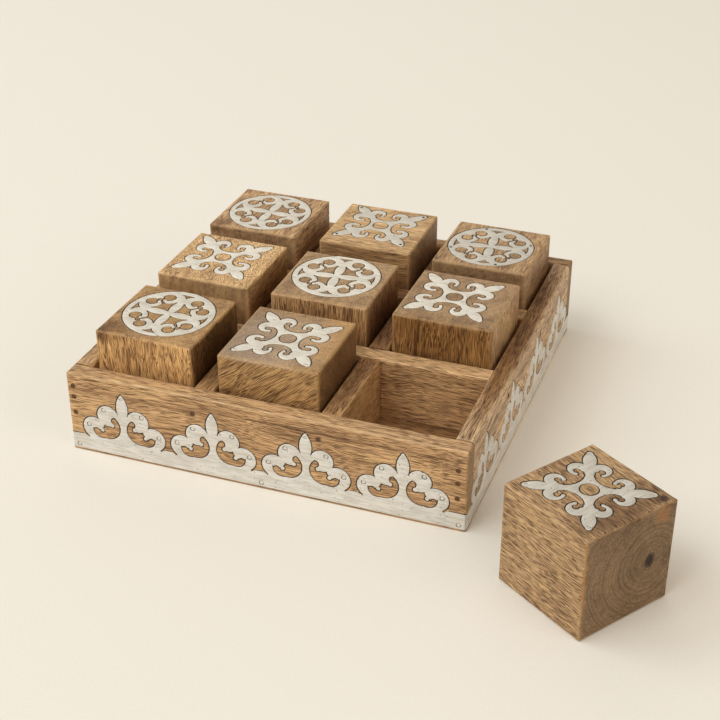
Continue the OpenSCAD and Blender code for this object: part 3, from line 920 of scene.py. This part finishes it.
@dataclass
class Rivet:
    """A small pin whose head was hammered into a low dome in its hole.

    Attributes:
        sides: Sides of its round.
        gap: Dark gap between the head and the sheet, as a share of the radius.
        steps: Width and rise of each step of the dome, as shares of the radius.
    """

    sides: int = 20
    gap: float = 0.16
    steps: tuple[tuple[float, float], ...] = ((0.08, 0.18), (0.16, 0.14), (0.24, 0.07), (0.26, 0.02))

    def pattern(self) -> bpy.types.Object:
        """Models one rivet of radius 1, its crown at the origin and its shank down the z axis.

        Returns:
            The rivet that the others are copied from.
        """
        rise = sum(step[1] for step in self.steps)
        bpy.ops.object.select_all(action="DESELECT")
        bpy.ops.mesh.primitive_cylinder_add(vertices=self.sides, radius=1.0 - self.gap, depth=1.0,
                                            location=(0.0, 0.0, -rise - 0.5))
        piece = bpy.context.object
        piece.name = "rivet_pattern"
        bpy.ops.object.transform_apply(location=True, rotation=True, scale=True)
        bpy.ops.object.mode_set(mode="EDIT")
        bpy.ops.mesh.select_all(action="DESELECT")
        bpy.ops.mesh.select_mode(type="FACE")
        shape = bmesh.from_edit_mesh(piece.data)
        for cap in shape.faces:
            cap.select = cap.normal.z > 0.9
        bmesh.update_edit_mesh(piece.data)
        for inward, up in self.steps:
            bpy.ops.mesh.inset(thickness=inward)
            bpy.ops.transform.translate(value=(0.0, 0.0, up))
        bpy.ops.object.mode_set(mode="OBJECT")
        bpy.ops.object.shade_smooth_by_angle(angle=math.radians(50))
        return piece

    def set_in(self, boxes: list[tuple[Vector, Vector]], name: str, faces: list[Vector]) -> bpy.types.Object:
        """Copies the rivet to every hole.

        Args:
            boxes: The boxes of the pins.
            name: Name of the piece that they make.
            faces: Direction in which each head looks.

        Returns:
            All rivets as one piece.
        """
        pattern = self.pattern()
        copies = []
        for (low, high), face in zip(boxes, faces):
            size = high - low
            depth = abs(size.dot(face))
            radius = max(value for value, part in zip(size, face) if abs(part) < 0.5) / 2
            crown = (low + high) / 2 + face * depth / 2
            copy = pattern.copy()
            copy.data = pattern.data.copy()
            bpy.context.scene.collection.objects.link(copy)
            place = Matrix.Translation(crown) @ face.to_track_quat("Z", "Y").to_matrix().to_4x4()
            copy.data.transform(place @ Matrix.Diagonal((radius, radius, radius, 1.0)))
            copies.append(copy)
        bpy.data.objects.remove(pattern)
        return Bench.joined(copies, name)


# Sub-assemblies


def dress(piece: bpy.types.Object, material: bpy.types.Material) -> None:
    """Gives a piece one finish all over.

    Args:
        piece: A new piece or a CAD node.
        material: The finish.
    """
    slots = piece.data.materials
    if len(slots):
        for number in range(len(slots)):
            slots[number] = material
    else:
        slots.append(material)


def hand_in(piece: bpy.types.Object, node: str, body: str) -> None:
    """Puts a new piece in the place of a CAD node.

    Args:
        piece: The new piece.
        node: The CAD node.
        body: The body that the piece rides on.
    """
    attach(piece, body)
    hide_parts(node)


@dataclass(frozen=True)
class Inlay:
    """Pierced metal sheet with an eased rim, bedded in a line of lac.

    Attributes:
        body: The body that it rides on.
        face: Direction in which it looks.
        sheet: CAD node of the sheet.
        sheet_name: Name of the new sheet.
        lac: CAD node of the lac.
        lac_name: Name of the new lac line.
        reach: How far from its middle the rim is rounded, in millimetres.
        ease: Width of each step of the rim inwards and the drop of its outer side, in millimetres.
        sink: Depth of the lac below the metal, in metres.
    """

    body: str
    face: Vector
    sheet: str
    sheet_name: str
    lac: str
    lac_name: str
    reach: float = math.inf
    ease: tuple[tuple[float, float], ...] = ((0.08, 0.12), (0.10, 0.05))
    sink: float = 0.0003

    def build(self, metal: bpy.types.Material, lac: bpy.types.Material) -> None:
        """Makes the sheet and its lac line.

        Args:
            metal: The sheet's finish.
            lac: The lac's finish.
        """
        level = max(corner.dot(self.face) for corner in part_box(self.sheet))
        sheet = Bench.copied(self.sheet, self.sheet_name)
        Bench.eased(sheet, self.face, level, self.ease, self.reach)
        dress(sheet, metal)
        hand_in(sheet, self.sheet, self.body)
        line = Bench.copied(self.lac, self.lac_name)
        Bench.sunk(line, self.face, level, self.sink)
        dress(line, lac)
        hand_in(line, self.lac, self.body)


class Motif(Enum):
    """The two figures inlaid in the cubes' tops."""

    CROSS = "cross"
    ROUNDEL = "roundel"


@dataclass
class PlayingCube:
    """A wooden cube with a pierced metal figure let into its top.

    Attributes:
        name: The cube's body.
        motif: Its figure.
        middle: Middle of the wooden block, in millimetres.
        turn: Its turn seen from above, in degrees.
        tones: Its wood.
        grain: How the block was cut.
        painted_sheen: How light the metal is against that of the other cubes: painted sheen, brighter where
            the studio's reflection falls on the top.
        patches: Stains on the block, and painted shade on its sides where the tray and the other cubes shade
            them.
        edge: Edge of the block, in millimetres.
        rub: Width of the block's rubbed edges, in millimetres.
    """

    name: str
    motif: Motif
    middle: Triple
    turn: float
    tones: Timber
    grain: Grain
    painted_sheen: float = 1.0
    patches: tuple[Patch, ...] = ()
    edge: float = 50.0
    rub: float = 2.4

    def build(self, effects: Effects, lac: bpy.types.Material) -> None:
        """Builds and dresses the cube.

        Args:
            effects: The shared effects.
            lac: The lac's finish.
        """
        half = self.edge / 2
        wood = WoodFinish(f"{self.name} wood", self.tones, self.grain, self.middle, (half, half, half),
                          self.turn, self.rub, self.patches)
        dress(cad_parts[f"{self.name}_block"], wood.material(effects))
        # The metal's level is painted sheen, lighter on the tops where the studio's reflection falls
        # brighter.
        metal = SheetFinish(f"{self.name} metal", self.middle, self.turn, self.grain.seed,
                            self.painted_sheen).material(effects)
        figure = self.motif.value
        Inlay(self.name, UP, f"{self.name}_{figure}", f"{self.name}_eased_{figure}",
              f"{self.name}_lac", f"{self.name}_lac_line").build(metal, lac)
        self.make_rivets(metal)
        log.info("%s: block, %s, lac and rivets", self.name, figure)

    def make_rivets(self, metal: bpy.types.Material) -> None:
        """Makes the figure's rivets.

        Args:
            metal: Their finish.
        """
        boxes = Bench.islands(f"{self.name}_pins")
        rivets = Rivet().set_in(boxes, f"{self.name}_rivets", [UP] * len(boxes))
        dress(rivets, metal)
        hand_in(rivets, f"{self.name}_pins", self.name)


@dataclass
class Border:
    """The pierced metal border of one side of the tray.

    Attributes:
        side: The side's name.
        face: Direction in which it looks.
        turn: Direction of the side seen from above, in degrees.
        seed: Number that sets its metal apart.
        flat: How far from the side's middle the sheet is flat, in millimetres.
        pale: Colour of its clean metal.
        dull: Colour of its dull metal.
    """

    side: str
    face: Triple
    turn: float
    seed: float
    flat: float = 97.4
    pale: Colour = swatch(243, 239, 233)
    dull: Colour = swatch(218, 214, 205)

    def build(self, effects: Effects, lac: bpy.types.Material) -> bpy.types.Material:
        """Builds the border and its lac.

        Args:
            effects: The shared effects.
            lac: The lac's finish.

        Returns:
            The metal's finish, which its rivets take too.
        """
        metal = SheetFinish(f"{self.side} border metal", (0.0, 0.0, 4.0), self.turn, self.seed,
                            pale=self.pale, dull=self.dull).material(effects)
        Inlay("tray", Vector(self.face), f"{self.side}_border", f"{self.side}_eased_border",
              f"{self.side}_border_lac", f"{self.side}_lac_line", self.flat).build(metal, lac)
        log.info("%s border: sheet and lac", self.side)
        return metal


@dataclass
class Tray:
    """The tray: base, four boards, four dividers, borders and nails.

    Attributes:
        width: Outer width, in millimetres.
        height: Height, in millimetres.
        wall: Thickness of the boards, in millimetres.
        base: Thickness of the base, in millimetres.
        divider: Thickness of a divider, in millimetres.
        divider_top: Height of the dividers' top, in millimetres.
        divider_at: Distance of a divider from the middle, in millimetres.
        finishes: The wood of each piece, by its CAD node.
    """

    width: float = 197.9
    height: float = 42.7
    wall: float = 9.0
    base: float = 10.9
    divider: float = 9.7
    divider_top: float = 42.1
    divider_at: float = 31.6
    finishes: dict[str, WoodFinish] = field(default_factory=dict)

    def build(self, effects: Effects, lac: bpy.types.Material, iron: bpy.types.Material) -> None:
        """Builds and dresses the whole tray.

        Args:
            effects: The shared effects.
            lac: The lac's finish.
            iron: The nails' finish.
        """
        self.plan_boards()
        self.plan_inside()
        for node, finish in self.finishes.items():
            dress(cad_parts[node], finish.material(effects))
        log.info("tray: %d wooden pieces", len(self.finishes))
        for node in NAILS:
            dress(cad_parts[node], iron)
        log.info("tray: nails")
        borders = (
            Border("front", (0.0, -1.0, 0.0), 0.0, 2.0),
            Border("right", (1.0, 0.0, 0.0), 90.0, 5.0),
            Border("back", (0.0, 1.0, 0.0), 0.0, 11.0),
            Border("left", (-1.0, 0.0, 0.0), 90.0, 14.0),
        )
        metals = [border.build(effects, lac) for border in borders]
        self.make_rivets(borders, metals)

    def nail_stains(self, face: Triple, middle: Triple, turn: float) -> tuple[Patch, ...]:
        """Dark stains in the wood around the nails of a board.

        Args:
            face: Direction in which the board's outer face looks.
            middle: The board's middle, in millimetres.
            turn: Its turn seen from above, in degrees.

        Returns:
            The stains.
        """
        way = Vector(face)
        straight = Matrix.Rotation(-math.radians(turn), 3, "Z")
        stains = []
        for node in NAILS:
            for low, high in Bench.islands(node):
                head = (low + high) / 2 + way * abs((high - low).dot(way)) / 2
                if head.dot(way) > (self.width / 2 - 1.0) * MM:
                    place = straight @ (head / MM - Vector(middle))
                    stains.append(Patch(tuple(place), (1.9, 2.2, 1.8), swatch(140, 118, 98), 0.5, 1.2))
        return tuple(stains)

    def plan_boards(self) -> None:
        """Plans the wood of the four outer boards."""
        middle = self.width / 2 - self.wall / 2
        half_h = self.height / 2
        long_half = (self.width / 2, self.wall / 2, half_h)
        side_half = (self.width / 2 - self.wall, self.wall / 2, half_h)
        # Dark strip along the front board's foot: the wood below the band, with painted shade where the board
        # meets the table.
        foot_with_painted_shade = Patch((0.0, -4.5, -21.3), (130.0, 3.0, 1.8), swatch(96, 66, 42), 0.75, 0.3, "MIX")
        # Pale line along the front board's top front edge: rubbed wood, and a painted highlight where the
        # rounded edge catches the light.
        rubbed_arris_highlight = Patch((0.0, -4.3, 21.2), (130.0, 0.9, 0.9), swatch(226, 190, 144), 0.4, 1.6, "MIX")
        dark_band = (Patch((30.0, -4.5, 15.3), (95.0, 6.0, 1.0), swatch(130, 102, 78), 0.5, 1.2),
                     Patch((-60.0, -4.5, 13.0), (40.0, 6.0, 1.2), swatch(140, 110, 84), 0.45, 1.2))
        plans = (
            ("front", (0.0, -1.0, 0.0), 0.0, Timber.TAN, long_half, (*dark_band, foot_with_painted_shade, rubbed_arris_highlight),
             Grain(seed=1.0, heart=(60.0, -28.0), ring=5.5, wave=6.0, ripple=0.25, streaks=0.5,
                   lines=0.8, dashes=0.8, veins=0.2, level=1.18)),
            ("back", (0.0, 1.0, 0.0), 0.0, Timber.BROWN, long_half, (),
             Grain(seed=2.0, heart=(50.0, 30.0), ring=6.0, wave=7.0, streaks=1.1)),
            ("left", (-1.0, 0.0, 0.0), 90.0, Timber.TAN, side_half, (),
             Grain(seed=3.0, heart=(-50.0, 30.0), ring=5.0, wave=6.0)),
            ("right", (1.0, 0.0, 0.0), 90.0, Timber.GREYISH, side_half,
             (Patch((0.0, 0.5, 22.0), (120.0, 9.0, 2.6), swatch(162, 138, 106), 1.0, 0.4),),
             Grain(seed=4.0, heart=(-70.0, 20.0), ring=5.0, wave=5.0, level=1.50)),
        )
        for side, face, turn, tones, half, patches, grain in plans:
            place = (face[0] * middle, face[1] * middle, half_h)
            stains = self.nail_stains(face, place, turn)
            self.finishes[f"{side}_board"] = WoodFinish(
                f"{side} board wood", tones, grain, place, half, turn, 1.6, stains + patches)

    def plan_inside(self) -> None:
        """Plans the wood of the dividers and the base."""
        inner = self.width / 2 - self.wall
        half_h = (self.divider_top - self.base) / 2
        mid_h = self.base + half_h
        half = (inner, self.divider / 2, half_h)
        places = {"front": ((0.0, -self.divider_at), 0.0), "back": ((0.0, self.divider_at), 0.0),
                  "left": ((-self.divider_at, 0.0), 90.0), "right": ((self.divider_at, 0.0), 90.0)}
        worn = Patch((0.0, 0.0, 15.6), (110.0, 7.0, 2.0), swatch(176, 156, 136), 0.8, 0.6)
        # Painted light: the right divider's face that looks into the empty front compartment made paler.
        painted_light_face = Patch((-63.0, -4.9, 0.0), (34.0, 2.0, 18.0), swatch(240, 190, 126), 0.24, 0.4, "MIX")
        patches = {"front": (), "back": (worn,), "left": (worn,), "right": (worn, painted_light_face)}
        for number, (side, (at, turn)) in enumerate(places.items()):
            self.finishes[f"{side}_divider"] = WoodFinish(
                f"{side} divider wood", Timber.BROWN if number else Timber.TAN,
                Grain(seed=6.0 + number, heart=(40.0, 35.0 - 9.0 * number), ring=4.5, length=1.0,
                      rings=0.35, streaks=0.4, lines=0.8, dashes=0.8, level=1.22),
                (*at, mid_h), half, turn, 1.2, patches[side])
        self.finishes["base_panel"] = WoodFinish(
            "base wood", Timber.ORANGE, Grain(seed=12.0, heart=(30.0, 90.0), ring=7.0, level=0.6),
            (0.0, 0.0, self.base / 2), (inner, inner, self.base / 2), 0.0, 1.0)

    def make_rivets(self, borders: tuple[Border, ...], metals: list[bpy.types.Material]) -> None:
        """Makes the borders' rivets, one piece for all, dressed side by side.

        Args:
            borders: The four borders.
            metals: The metal of each.
        """
        boxes = Bench.islands("border_pins")
        limit = self.width / 2 * MM
        sorted_boxes = []
        faces = []
        counts = []
        for border in borders:
            face = Vector(border.face)
            near = [box for box in boxes if max(box[0].dot(face), box[1].dot(face)) > limit - FLUSH]
            sorted_boxes += near
            faces += [face] * len(near)
            counts.append(len(near))
        rivets = Rivet().set_in(sorted_boxes, "border_rivets", faces)
        share = len(rivets.data.polygons) // len(sorted_boxes)
        rivets.data.materials.clear()
        for metal in metals:
            rivets.data.materials.append(metal)
        owner = [number for number, count in enumerate(counts) for _ in range(count)]
        for polygon in rivets.data.polygons:
            polygon.material_index = owner[polygon.index // share]
        hand_in(rivets, "border_pins", "tray")
        log.info("borders: %d rivets", len(sorted_boxes))


# Studio


def bearing(heading: float, height: float) -> Vector:
    """Direction from the table to a place round the object.

    Args:
        heading: The place's angle from the front towards the right, in degrees.
        height: Its angle above the table, in degrees.

    Returns:
        The direction, one unit long.
    """
    turn = math.radians(heading)
    tilt = math.radians(height)
    return Vector((math.sin(turn) * math.cos(tilt), -math.cos(turn) * math.cos(tilt), math.sin(tilt)))


@dataclass(frozen=True)
class PhotoCamera:
    """The photograph's viewpoint.

    Attributes:
        target: Point that it looks at, in metres.
        distance: Distance from that point, in metres.
        heading: Its place round the object, in degrees from the front towards the right.
        height: Its angle above the table, in degrees.
        roll: Its tilt, in degrees.
        lens: Its lens, in millimetres on a 36 mm sensor.
    """

    target: Triple = (0.002782, 0.026922, 0.0)
    distance: float = 0.780127
    heading: float = 20.085
    height: float = 30.526
    roll: float = 0.02
    lens: float = 72.969

    def build(self) -> None:
        """Places the camera and makes it the scene's."""
        turn = math.radians(self.heading)
        roll = math.radians(self.roll)
        back = bearing(self.heading, self.height)
        right = Vector((math.cos(turn), math.sin(turn), 0.0))
        up = back.cross(right)
        rolled_right = right * math.cos(roll) + up * math.sin(roll)
        rolled_up = up * math.cos(roll) - right * math.sin(roll)
        data = bpy.data.cameras.new("photo_camera")
        data.lens = self.lens
        data.sensor_width = 36.0
        data.clip_start = 0.01
        camera = bpy.data.objects.new("photo_camera", data)
        bpy.context.scene.collection.objects.link(camera)
        turned = Matrix((rolled_right, rolled_up, back)).transposed().to_4x4()
        camera.matrix_world = Matrix.Translation(Vector(self.target) + back * self.distance) @ turned
        bpy.context.scene.camera = camera
        log.info("camera: %.1f mm lens at %.3f m", self.lens, self.distance)


@dataclass(frozen=True)
class Softbox:
    """A square soft lamp that looks at the middle of the table.

    Attributes:
        name: The lamp's name.
        heading: Its place round the object, in degrees from the front towards the right.
        height: Its angle above the table, in degrees.
        distance: Its distance, in metres.
        size: Its edge, in metres.
        power: Its power, in watts.
        tint: Its colour.
    """

    name: str
    heading: float
    height: float
    distance: float
    size: float
    power: float
    tint: Triple = (1.0, 1.0, 1.0)

    def build(self) -> None:
        """Hangs the lamp."""
        way = bearing(self.heading, self.height)
        data = bpy.data.lights.new(self.name, "AREA")
        data.shape = "SQUARE"
        data.size = self.size
        data.energy = self.power
        data.color = self.tint
        lamp = bpy.data.objects.new(self.name, data)
        lamp.location = Vector((0.04, 0.0, 0.0)) + way * self.distance
        lamp.rotation_euler = way.to_track_quat("Z", "Y").to_euler()
        bpy.context.scene.collection.objects.link(lamp)


@dataclass
class Studio:
    """Pale table, soft lamps and even light all round.

    Attributes:
        table: Edge of the table, in metres.
        paper: Colour of the table.
        sky: Colour of the light all round.
        sky_level: Strength of the light all round.
        lamps: The soft lamps.
    """

    table: float = 12.0
    paper: Colour = swatch(240, 232, 219)
    sky: Colour = (1.0, 0.925, 0.80, 1.0)
    sky_level: float = 0.45
    lamps: tuple[Softbox, ...] = (
        Softbox("key_lamp", -82.0, 42.0, 4.0, 2.4, 55.5, (0.74, 0.88, 1.0)),
        Softbox("front_lamp", -30.0, 48.0, 4.0, 2.2, 55.0, (0.97, 0.99, 1.0)),
        Softbox("right_lamp", 70.0, 35.0, 4.0, 2.2, 20.0, (1.0, 0.97, 0.93)),
        Softbox("sheen_lamp", 198.0, 34.0, 3.5, 3.0, 11.0, (0.98, 0.99, 1.0)),
        Softbox("top_lamp", 10.0, 84.0, 3.5, 2.5, 10.0),
    )

    def build(self, effects: Effects) -> None:
        """Builds the studio.

        Args:
            effects: The shared effects.
        """
        scene = bpy.context.scene
        scene.view_settings.view_transform = "Standard"
        world = bpy.data.worlds.new("studio_light")
        scene.world = world
        world.use_nodes = True
        w = Wiring(world.node_tree)
        sky = w.place("ShaderNodeBackground", {"Color": self.sky, "Strength": self.sky_level})
        w.place("ShaderNodeOutputWorld", {"Surface": sky.outputs[0]})
        for lamp in self.lamps:
            lamp.build()
        bpy.ops.object.select_all(action="DESELECT")
        bpy.ops.mesh.primitive_plane_add(size=self.table)
        paper = bpy.context.object
        paper.name = "table_paper"
        dress(paper, PaperFinish("pale paper", self.paper).material(effects))
        log.info("studio: table and %d lamps", len(self.lamps))


def plan_cubes() -> tuple[PlayingCube, ...]:
    """Plans the nine cubes, from the front row to the back and then the one beside the tray.

    Returns:
        The cubes.
    """
    cross = Motif.CROSS
    roundel = Motif.ROUNDEL
    whole = (2.2, 60.0, 60.0)
    # Painted shade over a cube's whole front side.
    front = partial(Patch, (0.0, -25.0, 0.0), (60.0, 2.0, 60.0), uneven=0.0)
    # Painted shade over a cube's whole right side, where it looks into a gap.
    right = partial(Patch, (26.4, 0.0, 0.0), whole, uneven=0.0)
    shade = swatch(176, 160, 146)
    deep = swatch(92, 68, 50)
    # Colour of the painted shade on cube sides that look into the gaps.
    painted_gap_shade = swatch(134, 103, 68)
    # Deeper painted shade on o_cube_1's right side, in the narrow gap beside x_cube_1.
    painted_deep_gap_shade = Patch((26.0, 0.0, 0.0), whole, swatch(100, 82, 56), 1.0, 0.0)
    # Painted shade: a cube's sides darker towards the bottom, where the tray and the other cubes shade them.
    low = Patch((0.0, 0.0, 6.0), (60.0, 60.0, 17.0), swatch(160, 126, 88), 0.6, 0.0)
    # The metal level of each cube below is painted sheen: lighter where the studio's reflection falls
    # brighter on its top.
    return (
        PlayingCube("o_cube_1", roundel, (-62.39, -62.69, 36.2), -0.9, Timber.GOLDEN,
                    Grain(rise=90.0, seed=21.0, heart=(38.0, 30.0), ring=4.5, wave=9.0, ripple=1.8,
                          streaks=0.9, end=0.52, level=1.06),
                    painted_sheen=0.96,
                    patches=(painted_deep_gap_shade, Patch((-22.0, -21.0, 25.0), (17.0, 12.0, 7.0), shade, 0.7),
                             Patch((-25.0, -25.0, 24.0), (7.0, 7.0, 6.0), deep, 0.45))),
        PlayingCube("x_cube_1", cross, (0.20, -63.40, 36.2), 0.2, Timber.GOLDEN,
                    Grain(rise=38.0, seed=22.0, heart=(26.0, 22.0), ring=4.0, end=0.15, level=0.73),
                    patches=(right(painted_gap_shade, 1.0), Patch((-18.0, -4.0, 25.0), (20.0, 30.0, 5.0), shade, 0.4),
                             Patch((-8.0, -6.0, 25.0), (34.0, 34.0, 2.5), swatch(216, 204, 188), 0.22,
                                   0.6, "MIX"),
                             Patch((21.0, 8.0, 25.0), (15.0, 26.0, 2.5), swatch(234, 180, 116), 0.22,
                                   1.0, "MIX"))),
        PlayingCube("x_cube_2", cross, (-62.29, 1.01, 36.2), -0.6, Timber.STRAW,
                    Grain(heading=90.0, rise=12.0, seed=23.0, heart=(30.0, -24.0), level=1.11),
                    painted_sheen=1.04, patches=(right(swatch(148, 114, 74), 1.0), low)),
        PlayingCube("o_cube_2", roundel, (-0.51, 0.51, 36.2), 0.5, Timber.TAN,
                    Grain(rise=90.0, seed=24.0, heart=(30.0, 40.0), ring=4.0, end=0.45, level=1.12),
                    patches=(right(painted_gap_shade, 1.0), low, front(swatch(248, 244, 236), 1.0))),
        PlayingCube("x_cube_3", cross, (62.69, 0.71, 36.2), -0.4, Timber.TAN,
                    Grain(rise=90.0, seed=25.0, heart=(22.0, 44.0), ring=3.5, rings=0.3, end=0.55,
                          level=1.08),
                    # Painted shade on the front side, which looks over the empty compartment.
                    painted_sheen=1.01, patches=(front(swatch(204, 186, 152), 1.0),)),
        PlayingCube("o_cube_3", roundel, (-62.19, 62.19, 36.2), -0.3, Timber.TAN,
                    Grain(heading=90.0, seed=26.0, heart=(36.0, -30.0), level=1.12),
                    painted_sheen=0.95, patches=(low, Patch((-23.0, -23.0, 25.0), (10.0, 8.0, 6.0), shade, 0.9))),
        PlayingCube("x_cube_4", cross, (0.30, 63.91, 36.2), 0.1, Timber.STRAW,
                    Grain(seed=27.0, heart=(42.0, 24.0), ring=4.5, lines=0.85, dashes=0.6, level=0.94),
                    painted_sheen=0.87, patches=(low, front(painted_gap_shade, 0.35), right(painted_gap_shade, 0.5))),
        PlayingCube("o_cube_4", roundel, (63.10, 62.19, 36.2), -0.6, Timber.TAN,
                    Grain(heading=90.0, seed=28.0, heart=(32.0, 36.0), lines=0.9, dashes=0.7, level=0.97),
                    painted_sheen=0.84, patches=(low,)),
        PlayingCube("x_cube_5", cross, (155.55, -118.55, 25.0), 55.8, Timber.TAN,
                    Grain(heading=90.0, seed=29.0, heart=(12.0, 0.0), ring=2.0, wave=4.0, length=0.8,
                          rings=0.4, streaks=0.6, lines=1.4, flecks=0.8, ring_lines=0.42, end=0.86,
                          level=0.92),
                    painted_sheen=0.83,
                    patches=(Patch((11.7, -25.0, 0.0), (3.2, 3.0, 4.2), swatch(92, 74, 56), 1.0, 0.5),
                             Patch((20.5, -21.0, 25.0), (2.7, 2.7, 4.0), deep, 0.85, 1.2),
                             Patch((0.0, -16.0, 25.0), (34.0, 12.0, 3.0), shade, 0.8),
                             Patch((17.0, -25.5, 20.0), (5.0, 4.0, 5.0), swatch(190, 130, 70), 0.45,
                                   1.6, "MIX"),
                             Patch((-25.0, -25.0, 6.0), (1.3, 1.3, 22.0), swatch(160, 100, 44), 0.6,
                                   1.2, "MIX"))),
    )


def main() -> None:
    """Builds the studio, the tray and the cubes."""
    logging.basicConfig(level=logging.INFO, format="%(name)s: %(message)s")
    effects = Effects()
    PhotoCamera().build()
    Studio().build(effects)
    lac = GrittyFinish("dark lac", swatch(20, 13, 9), swatch(48, 34, 24), 0.9, 2.0, (0.45, 0.75), 0.45, 0.3,
                       0.6).material(effects)
    iron = GrittyFinish("nail iron", swatch(104, 82, 62), swatch(120, 86, 58), 0.7, 3.0, (0.42, 0.62), 0.35,
                        0.4, 0.8, 0.6).material(effects)
    Tray().build(effects, lac, iron)
    for cube in plan_cubes():
        cube.build(effects, lac)


if __name__ == "__main__":
    main()
